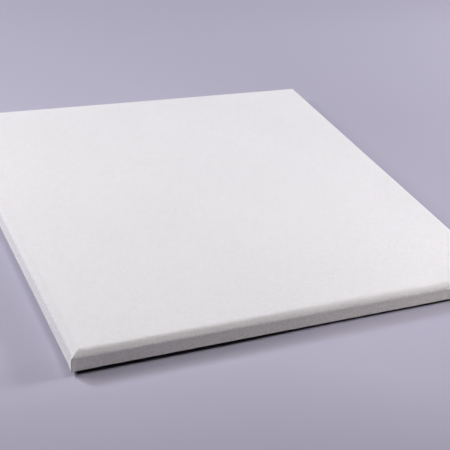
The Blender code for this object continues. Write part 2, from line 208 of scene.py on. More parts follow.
def without_doubles(line):
    """A line without the points that lie on the point before."""
    apart = np.linalg.norm(np.diff(line, axis=0), axis=1)
    return line[np.concatenate([[True], apart > 1e-7])]


def rounded_line(corners, radii, step, arc_step=math.radians(9)):
    """A line of straight runs whose corners are rounded by arcs of the given radii. Straight runs
    are divided evenly by about step, arcs by about arc_step. The first and last corners stay sharp."""
    corners = np.asarray(corners, dtype=float)
    arcs = []
    for before, corner, after, radius in zip(corners, corners[1:], corners[2:], radii):
        inward = (before - corner) / np.linalg.norm(before - corner)
        onward = (after - corner) / np.linalg.norm(after - corner)
        opening = math.acos(np.clip(inward @ onward, -1, 1))
        bend = math.pi - opening
        halfway = (inward + onward) / np.linalg.norm(inward + onward)
        middle = corner + halfway * radius / math.sin(opening / 2)
        first = corner + inward * radius * math.tan(bend / 2) - middle
        angle = np.linspace(0, bend, max(2, math.ceil(bend / arc_step)) + 1)[:, None]
        arcs.append(middle + first * np.cos(angle) - inward * radius * np.sin(angle))
    line = [corners[:1]]
    for arc in (*arcs, corners[-1:]):
        last = line[-1][-1]
        count = max(1, round(np.linalg.norm(arc[0] - last) / step))
        line.append(last + (arc[0] - last) * np.linspace(0, 1, count + 1)[1:, None])
        line.append(arc[1:])
    return without_doubles(np.concatenate(line))


def turned_mesh(name, profile, columns, place, relief=None):
    """A profile of (radius, height) points turned about the Z axis. relief, given the angle, the
    radius and the height as arrays, gives each point's own radius and height."""
    angle = np.linspace(0, TURN, columns + 1)
    radius, height = np.repeat(profile.T[:, :, None], columns + 1, axis=2)
    if relief:
        radius, height = relief(angle, radius, height)
    grid = np.stack([radius * np.cos(angle), radius * np.sin(angle), height], axis=-1)
    return new_mesh(name, [moved(grid, place)], closed=True, weld=2e-6)


def swept_grid(path, section, across):
    """A closed section carried along a flat path. across is the direction square to the path's
    plane. The section's first number goes to the path's own side, its second along across."""
    along = np.gradient(path, axis=0)
    along = along / np.linalg.norm(along, axis=1, keepdims=True)
    across = np.array(across, dtype=float)
    aside = np.cross(along, across)
    ring = path[:, None] + aside[:, None] * section[None, :, :1] + across * section[None, :, 1:]
    start, end = (np.repeat(tip[:, None], len(section), axis=1) for tip in (path[:1], path[-1:]))
    return np.concatenate([start, ring, end])


# Materials


class Wire:
    """One output of a node, in its tree. Arithmetic on a wire adds a node and gives its wire."""

    def __init__(self, tree, socket):
        self.tree = tree
        self.socket = socket

    def math(self, operation, *others):
        return calculate(self.tree, operation, self, *others)

    def __add__(self, other):
        return self.math("ADD", other)

    def __sub__(self, other):
        return self.math("SUBTRACT", other)

    def __mul__(self, other):
        return self.math("MULTIPLY", other)

    def __rsub__(self, other):
        return calculate(self.tree, "SUBTRACT", other, self)

    def __rtruediv__(self, other):
        return calculate(self.tree, "DIVIDE", other, self)

    def __abs__(self):
        return self.math("ABSOLUTE")

    def vector_math(self, operation, other):
        return add_node(self.tree, "VectorMath", {0: self, 1: other}, operation=operation)[0]

    def times(self, factors):
        """A place or a colour with each of its numbers multiplied by its own factor."""
        return self.vector_math("MULTIPLY", factors)

    def axes(self):
        """The X, the Y and the Z of a place."""
        parts = add_node(self.tree, "SeparateXYZ", {0: self})
        return parts[0], parts[1], parts[2]

    def through(self, group, **inputs):
        """What a node group gives for a place."""
        return add_node(self.tree, "Group", {"Place": self, **inputs}, node_tree=group)

    def noise(self, scale, detail=2.0, roughness=0.5, output=0):
        """Smooth noise at a place, about 0.5 in the middle, with so many cells to the metre."""
        inputs = {"Vector": self, "Scale": scale, "Detail": detail, "Roughness": roughness}
        return add_node(self.tree, "TexNoise", inputs)[output]

    def spread(self, low, high, new_low=0.0, new_high=1.0):
        """A number moved from one range to another, and held inside it."""
        inputs = {0: self, 1: low, 2: high, 3: new_low, 4: new_high}
        return add_node(self.tree, "MapRange", inputs)[0]

    def mix(self, first, second):
        """A number between two, by this share."""
        return add_node(self.tree, "Mix", {0: self, 2: first, 3: second})[0]

    def blend(self, first, second):
        """A colour between two, by this share. Each is a wire, or its red, green and blue."""
        first, second = (c if isinstance(c, Wire) else (*c, 1) for c in (first, second))
        return add_node(self.tree, "Mix", {0: self, 6: first, 7: second}, data_type="RGBA")[2]


def wires_from(tree, node):
    """A node's outputs as wires, by number and by name."""
    wires = {}
    for number, socket in enumerate(node.outputs):
        wires[number] = wires[socket.name] = Wire(tree, socket)
    return wires


def set_inputs(tree, node, inputs):
    """Sets a node's inputs to values, or joins wires to them."""
    for key, value in inputs.items():
        if isinstance(value, Wire):
            tree.links.new(value.socket, node.inputs[key])
        else:
            node.inputs[key].default_value = value


def add_node(tree, kind, inputs, **settings):
    """The wires from a new node with these settings and inputs."""
    node = tree.nodes.new(f"ShaderNode{kind}")
    for key, value in settings.items():
        setattr(node, key, value)
    set_inputs(tree, node, inputs)
    return wires_from(tree, node)


def calculate(tree, operation, *values):
    """The wire from one Math node."""
    return add_node(tree, "Math", dict(enumerate(values)), operation=operation)[0]


def object_place(tree):
    return add_node(tree, "TexCoord", {})["Object"]


def cloth_place(tree):
    return add_node(tree, "UVMap", {}, uv_map="cloth")[0]


def new_material(name):
    material = bpy.data.materials.new(name)
    material.use_nodes = True
    return material, material.node_tree


def finish_material(material, colour, roughness, bumps, others):
    """Joins a colour and a roughness to the material's shader, and a chain of bumps (height,
    distance, strength) from the lowest to the uppermost. others are more of its inputs."""
    tree = material.node_tree
    normal = {}
    for height, distance, strength in bumps:
        inputs = {"Height": height, "Distance": distance, "Strength": strength, **normal}
        normal = {"Normal": add_node(tree, "Bump", inputs)[0]}
    inputs = {"Base Color": colour, "Roughness": roughness, **normal, **others}
    set_inputs(tree, tree.nodes["Principled BSDF"], inputs)
    return material


def new_group(name, **kinds):
    """A shader node group's tree, and its inputs as wires. kinds gives each input's kind."""
    tree = bpy.data.node_groups.new(name, "ShaderNodeTree")
    for label, kind in kinds.items():
        tree.interface.new_socket(label, in_out="INPUT", socket_type=f"NodeSocket{kind}")
    return tree, wires_from(tree, tree.nodes.new("NodeGroupInput"))


def finish_group(tree, **outputs):
    """Joins a group's outputs, which are numbers."""
    for label in outputs:
        tree.interface.new_socket(label, in_out="OUTPUT", socket_type="NodeSocketFloat")
    set_inputs(tree, tree.nodes.new("NodeGroupOutput"), outputs)
    return tree


def plain_weave_group():
    """Warp and weft of a plain weave. Threads lie at whole numbers of the pitch, and each crossing
    shows the warp or the weft by turns. A thread's height is a parabola across it times a rise and
    fall along it. Height is the cloth's relief, Tone each thread's own shade, and Gap is 1 in the
    holes between threads. Slub is how much a thread's thickness varies with its tone."""
    tree, taken = new_group("plain_weave", Place="Vector", Pitch="Float", Slub="Float")
    place = taken["Place"]
    wander = 1.2 * MM
    drift = place.noise(90.0, 1.0, output="Color").vector_math("SUBTRACT", (0.5, 0.5, 0.5))
    bent = place.vector_math("ADD", drift.times((wander, wander, wander)))
    counted = bent.times(1.0 / taken["Pitch"]).axes()
    rounded, rise, number = [], [], []
    for axis in (0, 1):
        part = counted[axis].math("FRACT")
        number.append(counted[axis].math("FLOOR"))
        centred = part.math("MULTIPLY_ADD", 2.0, -1.0)
        rounded.append(1.0 - centred * centred)
        rise.append((part * math.pi).math("SINE").math("MULTIPLY_ADD", 0.5, 0.5))
    warp = rounded[0] * rise[1]
    weft = rounded[1] * rise[0]
    parity = (number[0] + number[1]).math("FLOORED_MODULO", 2.0)
    tones = []
    for axis in (0, 1):
        spot = {0: number[axis] * 7.31, 1: counted[1 - axis] * 0.16, 2: 3.7 * axis}
        tones.append(add_node(tree, "CombineXYZ", spot)[0].noise(1.0, 1.5))
    tone = parity.mix(tones[1], tones[0])
    height = parity.mix(weft, warp) * ((tone - 0.5) * taken["Slub"] + 1.0)
    gap = warp.math("MAXIMUM", weft).spread(0.05, 0.45, 1.0, 0.0)
    return finish_group(tree, Height=height, Tone=tone, Gap=gap)


def fibres_group():
    """Short fibres lying every way: three noises, each drawn out along its own direction. Height is
    the fibres' relief and Tone their shade. Length is in fibres' thicknesses."""
    tree, taken = new_group("matted_fibres", Place="Vector", Size="Float", Length="Float")
    per_fibre = 1.0 / taken["Size"]
    squeeze = add_node(tree, "CombineXYZ", {0: 1.0, 1: 1.0 / taken["Length"], 2: 1.0})[0]
    layers = []
    for number, turn in enumerate((0.35, 1.45, 2.55)):
        inputs = {"Vector": taken["Place"], "Angle": turn}
        turned = add_node(tree, "VectorRotate", inputs, rotation_type="Z_AXIS")[0]
        layers.append(turned.times(squeeze).times(per_fibre).noise(1.0 + 0.17 * number, 2.0, 0.6))
    together = layers[0].math("MAXIMUM", layers[1]).math("MAXIMUM", layers[2])
    return finish_group(tree, Height=together, Tone=together.spread(0.4, 0.75))


def metal_wear_group():
    """Fine scratches and handling marks for plated steel: Scratch is 1 on a scratch, Cloud varies
    slowly over the surface."""
    tree, taken = new_group("metal_wear", Place="Vector", Fineness="Float")
    lines = taken["Place"].times((1.0, 0.08, 1.0)).noise(taken["Fineness"], 3.0)
    cloud = taken["Place"].noise(260.0, 3.0)
    return finish_group(tree, Scratch=lines.spread(0.56, 0.72), Cloud=cloud)


PLAIN_WEAVE = plain_weave_group()
FIBRES = fibres_group()
METAL_WEAR = metal_wear_group()


def white_cloth():
    """Off-white woven cloth: matt threads, slightly uneven, with painted shade greying the holes
    between threads, and with a coarser pile where it is folded over the edge."""
    material, tree = new_material("white_woven_cloth")
    place = cloth_place(tree)
    weave = place.through(PLAIN_WEAVE, Pitch=0.9 * MM, Slub=0.5)
    mottle = place.noise(620.0, 2.0, 0.6)
    slubs = place.times((700.0, 60.0, 1.0)).noise(1.0) + place.times((60.0, 700.0, 1.0)).noise(1.0)
    grain = place.noise(430.0, 1.0) + place.noise(260.0, 1.0)
    across, along, _ = place.axes()
    reach = abs(across).math("MAXIMUM", abs(along))
    folded = reach.spread(HALF_SIDE - 6 * MM, HALF_SIDE + 4 * MM)
    pile = folded.mix(1.0, grain.spread(0.7, 1.3, 0.91, 1.10))
    speckle = mottle.spread(0.3, 0.7, 0.97, 1.025)
    streak = slubs.spread(0.7, 1.3, 0.965, 1.03)
    wash = place.noise(7.0).spread(0.3, 0.7, 0.992, 1.008)
    thread = weave["Tone"].blend((0.855, 0.830, 0.858), (0.913, 0.888, 0.918))
    # Painted shade: the holes between the threads are greyed.
    thread = (weave["Gap"] * 0.35).blend(thread, (0.67, 0.65, 0.67))
    colour = thread.times(speckle * wash * streak * pile)
    lumps = mottle + slubs * 0.5
    bumps = [(grain, 0.25 * MM, 1.0), (lumps, 0.5 * MM, 1.0), (weave["Height"], 0.3 * MM, 1.0)]
    others = {"Specular IOR Level": 0.25, "Sheen Weight": 0.12, "Sheen Roughness": 0.5}
    return finish_material(material, colour, weave["Tone"].spread(0.2, 0.8, 0.96, 0.88), bumps, others)


def fleece_liner():
    """White needled fleece, dull, with short matted fibres."""
    material, tree = new_material("white_needled_fleece")
    fibres = cloth_place(tree).through(FIBRES, Size=0.7 * MM, Length=9.0)
    colour = fibres["Tone"].blend((0.72, 0.72, 0.70), (0.88, 0.88, 0.86))
    roughness = fibres["Tone"].spread(0.0, 1.0, 0.9, 1.0)
    bumps = [(fibres["Height"], 0.5 * MM, 1.0)]
    return finish_material(material, colour, roughness, bumps, {"Specular IOR Level": 0.2})


def black_felt():
    """Thin black spun cloth: pressed fibres, and a grid of tiny bonding dots."""
    material, tree = new_material("black_spun_cloth")
    place = cloth_place(tree)
    fibres = place.through(FIBRES, Size=0.5 * MM, Length=14.0)
    inputs = {"Vector": place, "Scale": 650.0, "Randomness": 0.15}
    away = add_node(tree, "TexVoronoi", inputs, voronoi_dimensions="2D")["Distance"]
    dot = away.spread(0.18, 0.30, 1.0, 0.0)
    colour = fibres["Tone"].blend((0.012, 0.012, 0.014), (0.040, 0.040, 0.044))
    colour = (dot * 0.5).blend(colour, (0.010, 0.010, 0.012))
    bumps = [(fibres["Height"] - dot * 0.6, 0.12 * MM, 1.0)]
    return finish_material(material, colour, dot.spread(0.0, 1.0, 0.92, 0.55), bumps, {})


def mineral_wool():
    """Yellow-brown mineral wool: coarse matted fibres in lighter and darker tufts."""
    material, tree = new_material("mineral_wool_slab")
    place = object_place(tree)
    fibres = place.through(FIBRES, Size=1.2 * MM, Length=12.0)
    tufts = place.noise(60.0, 4.0, 0.6)
    colour = fibres["Tone"].blend((0.36, 0.29, 0.11), (0.66, 0.57, 0.29))
    colour = tufts.spread(0.35, 0.7, 0.0, 0.5).blend(colour, (0.50, 0.40, 0.16))
    roughness = fibres["Tone"].spread(0.0, 1.0, 1.0, 0.85)
    bumps = [(tufts, 3.0 * MM, 1.0), (fibres["Height"], 0.8 * MM, 1.0)]
    return finish_material(material, colour, roughness, bumps, {"Specular IOR Level": 0.2})


def planed_timber(name, turn, offset=0.0):
    """Planed softwood: growth rings cut along the stick, fine pores and a few darker streaks. turn
    is the angle about Z from X to the way that the grain runs. offset shifts the grain along it."""
    material, tree = new_material(name)
    inputs = {"Vector": object_place(tree), "Rotation": (0, 0, -turn), "Location": (offset, 0.03, 0.05)}
    place = add_node(tree, "Mapping", inputs)[0]
    sway = place.times((1.0, 14.0, 14.0)).noise(3.0, 3.0)
    bands = place.times((0.6, 22.0, 30.0))
    inputs = {"Vector": bands, "Scale": 3.2, "Distortion": 5.0, "Detail": 3.0}
    rings = add_node(tree, "TexWave", inputs, bands_direction="Y")[1]
    pores = place.times((60.0, 2200.0, 2200.0)).noise(1.0, 2.0, 0.7)
    colour = rings.blend((0.70, 0.53, 0.34), (0.50, 0.33, 0.18))
    colour = sway.spread(0.4, 0.75, 0.0, 0.4).blend(colour, (0.58, 0.40, 0.22))
    colour = pores.spread(0.58, 0.75, 0.0, 0.35).blend(colour, (0.33, 0.21, 0.11))
    bumps = [(rings * 0.4 - pores, 0.12 * MM, 1.0)]
    return finish_material(material, colour, rings.spread(0.0, 1.0, 0.62, 0.78), bumps, {})


def plated_steel(name, light, dark, roughness, fineness):
    """Plated steel: slow clouds in the plating and fine scratches that catch the light."""
    material, tree = new_material(name)
    wear = object_place(tree).through(METAL_WEAR, Fineness=fineness)
    colour = wear["Cloud"].blend(dark, light)
    colour = (wear["Scratch"] * 0.4).blend(colour, (0.78, 0.79, 0.80))
    rough = wear["Cloud"].spread(0.3, 0.7, roughness - 0.07, roughness + 0.10)
    bumps = [(wear["Scratch"], 0.01 * MM, 0.5)]
    return finish_material(material, colour, rough + wear["Scratch"] * 0.15, bumps, {"Metallic": 1.0})


def black_rubber():
    """Moulded rubber: fine grain, and a faint bloom that lightens it in patches."""
    material, tree = new_material("moulded_black_rubber")
    place = object_place(tree)
    bloom = place.noise(160.0, 4.0, 0.65)
    colour = bloom.spread(0.45, 0.75).blend((0.022, 0.022, 0.023), (0.060, 0.059, 0.057))
    bumps = [(place.noise(2600.0), 0.03 * MM, 0.8)]
    return finish_material(material, colour, bloom.spread(0.3, 0.7, 0.62, 0.85), bumps, {})


WHITE_CLOTH = white_cloth()
FLEECE = fleece_liner()
BLACK_FELT = black_felt()
MINERAL_WOOL = mineral_wool()
ZINC = plated_steel("zinc_plated_steel_bright", (0.66, 0.67, 0.69), (0.54, 0.55, 0.57), 0.32, 900.0)
STAPLE_STEEL = plated_steel(
    "galvanised_staple_wire", (0.60, 0.60, 0.61), (0.44, 0.44, 0.46), 0.42, 1500.0
)
RUBBER = black_rubber()
LONG_WAYS = planed_timber("planed_timber_across", 0.0)
UP_WAYS = planed_timber("planed_timber_upright", QUARTER, 0.4)
BLOCK_ONE = planed_timber("corner_block_timber_rising", QUARTER / 2, 0.9)
BLOCK_TWO = planed_timber("corner_block_timber_falling", -QUARTER / 2, 1.3)


# The cloth, the liner, the dust cover and the wool


def half_side_steps():
    """Distances from a corner along half a side: fine near the corner, then about 6 mm apart."""
    near = [0, 0.35, 0.75, 1.2, 1.7, 2.3, 3.0, 3.8, 4.7, 5.7, 6.8, 8.0, 9.3, 10.7, 12.3, 14.2]
    near = np.array([*near, 16.8, 20.4]) * MM
    count = round((FLAT_HALF - near[-1]) / (6 * MM))
    return np.concatenate([near, np.linspace(near[-1], FLAT_HALF, count + 1)[1:]])


def side_lines():
    """Places along a whole side of the flat part, from -FLAT_HALF to FLAT_HALF."""
    steps = half_side_steps()
    return np.concatenate([steps - FLAT_HALF, FLAT_HALF - steps[-2::-1]])


def front_grid(height):
    """The flat front: a square grid of the side lines. height gives its level at x and y."""
    x, y = np.meshgrid(side_lines(), side_lines())
    return np.stack([x, y, height(x, y)], axis=-1)


def side_grid(line, rounding, relief=None):
    """One side of a wrapped sheet, over the bottom edge of the square. line is the sheet's profile in
    each column, as (distance from the middle, height), and rounding each row's corner radius. In
    each row a point runs along the straight side and then half way round the corner's arc, at the
    same share of the row's length as its column has on the flat front. relief pushes points along
    the sheet's normal, pulls both sides of a corner outwards and lets its foot droop. Returns the
    points and their places on the uncut cloth."""
    reach, height = line[..., 0], line[..., 1]
    radius = rounding[:, None]
    steps = half_side_steps()
    hand = np.repeat([-1.0, 1.0], [len(steps), len(steps) - 1])[None, :]
    half_length = reach - (1 - math.pi / 4) * radius
    away = np.concatenate([steps, steps[-2::-1]])[None, :] * half_length / FLAT_HALF
    half_arc = math.pi / 4 * radius
    bend = np.where(away < half_arc, away / np.maximum(radius, 1e-9), math.pi / 4)
    heading = math.radians(225) + bend
    x = -(reach - radius) + radius * np.cos(heading) + np.maximum(away - half_arc, 0.0)
    y = -(reach - radius) + radius * np.sin(heading)
    points = np.stack([np.where(hand < 0, x, -x), y, height + 0 * x], axis=-1)
    distance = run_along(line)
    if relief is not None:
        slope = np.gradient(line, axis=0)
        slope = slope / np.linalg.norm(slope, axis=-1, keepdims=True)
        out, up = -slope[..., 1], slope[..., 0]
        normal = [-hand * out * np.cos(heading), out * np.sin(heading), up + 0 * x]
        push, pull, droop = relief(hand * (half_length - away), away, hand, distance)
        points = points + np.stack(normal, axis=-1) * push[..., None]
        points[..., 0] -= np.where(hand < 0, pull, 0.0)
        points[..., 1] -= np.where(hand < 0, 0.0, pull)
        points[..., 2] -= droop
    uv = np.stack([hand * (half_length - away), -(reach[:1] + distance) + 0 * x], axis=-1)
    return points, uv


def turned_side(points, uv, quarter):
    """The bottom side's points and cloth places, turned to another side. Rows and columns are
    swapped so that the faces point out."""
    spin = np.array(Matrix.Rotation(quarter * QUARTER, 3, "Z"))
    return (points @ spin.T).transpose(1, 0, 2), (uv @ spin[:2, :2].T).transpose(1, 0, 2)


def cloth_line(radii):
    """The cloth's profile from the flat front over the bevel, down the side and in along the hem,
    with the bevel's crest and its lower edge rounded by two radii."""
    corners = [
        (FLAT_HALF, FRONT),
        (HALF_SIDE - BEVEL, FRONT),
        (HALF_SIDE, FRONT - BEVEL),
        (HALF_SIDE, HEM_LOW),
        (HEM_EDGE, HEM_LOW),
    ]
    return rounded_line(corners, (*radii, 1.3 * MM), 1.4 * MM)


def cloth_lines(softness):
    """The profile in each column, between a tight one and one that is padded out softly over the
    bevel. Both are divided alike: from the front to the bevel's middle, from there to the side's
    middle, and from there to the hem's edge. softness is 0 where the cloth is tight. Also returns
    the tight profile."""
    tight, soft = cloth_line(TIGHT_RADII), cloth_line(SOFT_RADII)
    marks = []
    for line in (tight, soft):
        way = run_along(line)
        bevel, side = np.interp([BEVEL / 2 - FRONT, -SIDE_MIDDLE], -line[:, 1], way)
        marks.append([0.0, bevel, side, way[-1]])
    there = np.interp(run_along(tight), *marks)
    softened = np.stack([np.interp(there, run_along(soft), part) for part in soft.T], axis=-1)
    share = softness[None, :, None]
    return tight[:, None] * (1 - share) + softened[:, None] * share, tight


def bevel_softness(quarter):
    """How softly the bevel is padded in each column of a side, from about 0 to 1: the same at all
    four corners, on the near side rising from left to right, and on the left side towards the
    back."""
    along = side_lines() / FLAT_HALF
    by_corner = smooth_step((np.abs(along) - 0.86) / 0.14)
    middle = (0.40, 0.25, 0.40, 0.80)[quarter] + 0.08 * np.sin(along * 5 + quarter)
    if quarter == 0:
        middle = 0.20 + 0.60 * smooth_step((along + 0.75) / 1.25)
    if quarter == 3:
        middle = 1.25 - 0.50 * smooth_step(along + 0.3)
    return middle * (1 - by_corner) + 0.20 * by_corner


def cloth_rounding(line, distance):
    """Each row's corner radius: none on the flat front, the frame's own on the upright side, and
    less again where the hem is folded in."""
    bevel_start = distance[np.argmax(line[:, 1] < FRONT - 0.05 * MM)]
    low = distance[np.argmax(line[:, 1] < HEM_LOW + 0.05 * MM)]
    grown = smooth_step((distance - bevel_start) / (9 * MM))
    grown = FRONT_ROUNDING + grown * (FOLDED_ROUNDING - FRONT_ROUNDING)
    grown = grown * smooth_step(distance / bevel_start)
    return grown * (1 - smooth_step((distance - low) / (8 * MM)))


def cloth_relief(quarter, side_top, side_foot):
    """Small relief of the stretched cloth on one side: slow waves from uneven pull, a faint scallop
    between staples at the foot, a belly towards the foot, and the lapped fold that ends each side,
    whose edge stands out past the corner and droops at its foot. down goes from 0 at the side's top
    to 1 at its foot, and away is the distance from the corner."""
    draw = np.random.default_rng(40 + quarter)
    waves = []
    for _ in range(7):
        waves.append((draw.uniform(38, 150) * MM, draw.uniform(0, TURN), draw.uniform(0.3, 1.0)))

    def relief(along, away, hand, distance):
        down = np.clip((distance - side_top) / (side_foot - side_top), 0.0, 1.0)
        past_foot = distance - side_foot
        on_side = smooth_step((distance - side_top + 4 * MM) / (8 * MM))
        on_side = on_side * (1 - smooth_step(past_foot / (3 * MM)))
        wave = sum(size * np.sin(TURN * along / length + phase) for length, phase, size in waves) / 3.0
        scallop = np.cos(TURN * along / STAPLE_PITCH) * down**2
        uneven = smooth_step(away / (16 * MM)) * (WAVE * wave - SCALLOP * scallop)
        belly = BELLY * np.clip((down - 0.2) / 0.8, 0, 1) ** 2
        belly = belly - HOLLOW * np.sin(math.pi * np.clip(down / 0.5, 0, 1))
        lap_width = (1.5 + 9.5 * down) * MM
        lap = smooth_step((lap_width - away) / (0.9 * MM) + 0.5)
        wrap = 1 - smooth_step(away / (3.2 * MM))
        foot = 1 - smooth_step(past_foot / (2.5 * MM))
        started = smooth_step((distance - side_top) / (5 * MM))
        fold = LAP * np.where(hand > 0, lap, wrap) * started * foot
        below_crest = np.clip((distance - side_top + 9 * MM) / (15 * MM), 0, 1)
        below_crest = 1 - (1 - below_crest) ** 2
        share = np.where(hand < 0, CORNER_SHARES[quarter], CORNER_SHARES[(quarter + 1) % 4])
        tip = TIP_TOP * (1 - down) + TIP_FOOT * down
        pull = share * tip * np.exp(-((away / (3.4 * MM)) ** 1.5)) * below_crest * foot
        hanging = smooth_step((down - 0.6) / 0.4) * (1 - smooth_step(past_foot / (7 * MM)))
        droop = share * TIP_DROOP * np.exp(-((away / (1.3 * MM)) ** 2)) * hanging
        return on_side * (uneven + belly) + fold, pull, droop

    return relief


def front_waves(x, y):
    """The front's level: flat, with unevenness of less than a tenth of a millimetre that dies out
    at the edges."""
    from_edges = smooth_step((FLAT_HALF - np.abs(x)) / (40 * MM))
    from_edges = from_edges * smooth_step((FLAT_HALF - np.abs(y)) / (40 * MM))
    slow = np.sin(x * 19 + 1.1) * np.cos(y * 16 - 0.4) + 0.7 * np.sin(x * 33 - y * 21 + 2.0)
    return FRONT + 0.05 * MM * from_edges * slow


def make_fabric_cover():
    """The front grid and four side grids, joined. Thickness goes inwards."""
    grids = [front_grid(front_waves)]
    for quarter in range(4):
        lines, line = cloth_lines(bevel_softness(quarter))
        distance = run_along(line)
        side_top = distance[np.argmax(line[:, 0] > HALF_SIDE - 1e-6)]
        side_foot = distance[np.argmax(line[:, 1] < HEM_LOW + 0.6 * MM)]
        relief = cloth_relief(quarter, side_top, side_foot)
        grids.append(turned_side(*side_grid(lines, cloth_rounding(line, distance), relief), quarter))
    mesh = new_mesh("woven_cover", grids)
    cover = add_piece(mesh, WHITE_CLOTH, nodes=["fabric_cover"])
    give_thickness(cover, CLOTH_THICKNESS)


def make_face_liner():
    """The fleece under the cloth: over the front and down the bevel, to the frame's upright side."""
    inset = CLOTH_THICKNESS + 0.3 * MM
    corner = HALF_SIDE - BEVEL + FRONT - math.sqrt(2) * inset - LINER_FRONT
    end = HALF_SIDE - inset - 0.2 * MM
    corners = [(FLAT_HALF, LINER_FRONT), (corner, LINER_FRONT), (end, LINER_FRONT - (end - corner))]
    line = rounded_line(corners, (9 * MM,), 1.6 * MM)
    distance = run_along(line)
    rounding = smooth_step(distance / distance[-1]) * 2.8 * MM
    grids = [front_grid(lambda x, y: LINER_FRONT + 0 * x)]
    grids += [turned_side(*side_grid(line[:, None], rounding), quarter) for quarter in range(4)]
    liner = add_piece(new_mesh("fleece_liner", grids), FLEECE, nodes=["face_liner"])
    give_thickness(liner, LINER_PRESSED)


def staple_stations(side):
    """Where a side's staples go, in a row from corner to corner, the way that the side is turned.
    The left and right rows leave out the place behind the hanger."""
    stations = (np.arange(STAPLES_IN_ROW) - (STAPLES_IN_ROW - 1) / 2) * STAPLE_PITCH
    if side in ("bottom", "top"):
        return stations
    hanger = HANGER_Y if side == "right" else -HANGER_Y
    return stations[np.abs(stations - hanger) > STAPLE_PITCH / 2]


def dust_cover_level(x, y):
    """The dust cover's lower face. It is drawn up at every staple, hangs a little between them and
    sags over the wool, with faint creases that run in from the staples."""
    reach = np.maximum(np.abs(x), np.abs(y))
    rim = DUST_COVER_HALF - reach
    along = np.where(np.abs(x) > np.abs(y), y, x)
    at_staple = np.cos(TURN * along / STAPLE_PITCH)
    corner = smooth_step((275 * MM - np.abs(along)) / (30 * MM))
    droop = -0.16 * (0.5 - 0.5 * at_staple) * np.exp(-rim / (9 * MM)) * corner
    crease = 0.10 * at_staple * np.exp(-(((rim - 14 * MM) / (14 * MM)) ** 2)) * corner
    sag = -0.5 * smooth_step((RAIL_INNER - reach) / (90 * MM))
    slow = 0.12 * np.sin(x * 31 + 2 * np.sin(y * 17)) * smooth_step((rim - 32 * MM) / (40 * MM))
    return DUST_COVER_HIGH - DUST_COVER_THICKNESS + (0.12 + droop + crease + sag + slow) * MM


def make_dust_cover():
    lines = np.linspace(-DUST_COVER_HALF, DUST_COVER_HALF, 148)
    x, y = np.meshgrid(lines, lines[::-1])
    mesh = new_mesh("black_dust_cover", [np.stack([x, y, dust_cover_level(x, y)], axis=-1)])
    cover = add_piece(mesh, BLACK_FELT, nodes=["dust_cover"])
    give_thickness(cover, DUST_COVER_THICKNESS)


def make_wool_core():
    """The slab: a square grid drawn in so that its corners are cropped, above and below, joined by
    an edge. Tufts give its faces a shallow relief."""
    half = RAIL_INNER - 0.3 * MM
    crop = (2 * half - BLOCK_LEG - 0.42 * MM) / half

    def outline(x, y):
        return np.maximum(np.maximum(np.abs(x), np.abs(y)), (np.abs(x) + np.abs(y)) / crop)

    def border(grid):
        return np.concatenate([grid[0], grid[1:, -1], grid[-1, -2::-1], grid[-2::-1, 0]])

    lines = np.linspace(-half, half, 110)
    x, y = np.meshgrid(lines, lines)
    shrink = np.maximum(np.abs(x), np.abs(y)) / np.maximum(outline(x, y), 1e-9)
    x, y = x * shrink, y * shrink
    edge = half - outline(x, y)
    tufts = np.random.default_rng(7).normal(0, 0.25 * MM, x.shape)
    tufts = (tufts + np.roll(tufts, 1, 0) + np.roll(tufts, 1, 1)) / 2
    tufts = np.clip(tufts, -0.4 * MM, 0.4 * MM) * smooth_step(edge / (6 * MM))
    drawn_in = 0.5 * MM - tufts + 0.8 * MM * (1 - smooth_step(edge / (3 * MM)))
    upper = np.stack([x, y, WOOD_HIGH - drawn_in], axis=-1)
    lower = np.stack([x, y, WOOD_LOW + drawn_in], axis=-1)
    level = np.linspace(0, 1, 8)[:, None, None]
    wall = border(upper) * (1 - level) + border(lower) * level
    bulge = np.sin(np.pi * level) * 0.25 * MM / half
    wall = wall * (1 + bulge * np.array([1, 1, 0]))
    mesh = new_mesh("mineral_wool_core", [upper, wall, lower[::-1]], closed=True)
    core = add_piece(mesh, MINERAL_WOOL, nodes=["wool_core"])


# Screws, bumpers, staples and hangers


def screw_profile(length, radius, head_radius, head_height, pitch):
    """Half a screw's outline, from the middle of its head's top to its point: a domed pan head, a
    flat bearing face, and a shank close enough sampled for its thread."""
    dome = np.linspace(0, QUARTER, 26)
    crown = np.stack([head_radius * np.sin(dome), -head_height * (0.35 + 0.65 * np.cos(dome))], axis=-1)
    rim = [(head_radius, -0.12 * head_height), (head_radius * 0.97, 0.0), (radius * 1.02, 0.0)]
    turns = np.arange(0.3 * MM, length, pitch / 8)
    shank = np.stack([np.full(len(turns), radius), turns], axis=-1)
    return np.concatenate([crown, rim, shank, [(0.0, length)]])


def screw_relief(length, radius, head_height, pitch):
    """The thread and the cross recess. A ridge runs round the core as a helix: its phase is the
    height in pitches less the angle in turns. The core narrows to the point. On the head, a cross
    of two tapered slots is sunk where a point is close to either axis."""
    core = 0.70 * radius
    half_slot = 0.34 * MM
    slot_reach = 0.992 * head_height

    def relief(angle, across, height):
        phase = (height / pitch - angle / TURN) % 1.0
        ridge = np.clip(1 - np.abs(phase - 0.5) / 0.26, 0, 1)
        ridge = ridge * smooth_step((height - 0.8 * MM) / (0.8 * MM))
        narrowing = 0.12 + 0.88 * smooth_step((length - height) / (2.6 * radius))
        threaded = (core + (radius - core) * ridge) * narrowing
        on_shank = (height > 0.2 * MM) & (across > 0)
        made_radius = np.where(on_shank, threaded, across)
        made_radius = np.where(height >= length - 1e-9, 0.0, made_radius)
        x, y = np.abs(across * np.cos(angle)), np.abs(across * np.sin(angle))
        slot = smooth_step((half_slot - np.minimum(x, y)) / (0.12 * MM))
        slot = slot * smooth_step((slot_reach - np.maximum(x, y)) / (0.35 * MM))
        on_head = height < -0.30 * head_height
        return made_radius, height + np.where(on_head, 0.5 * head_height * slot, 0.0)

    return relief


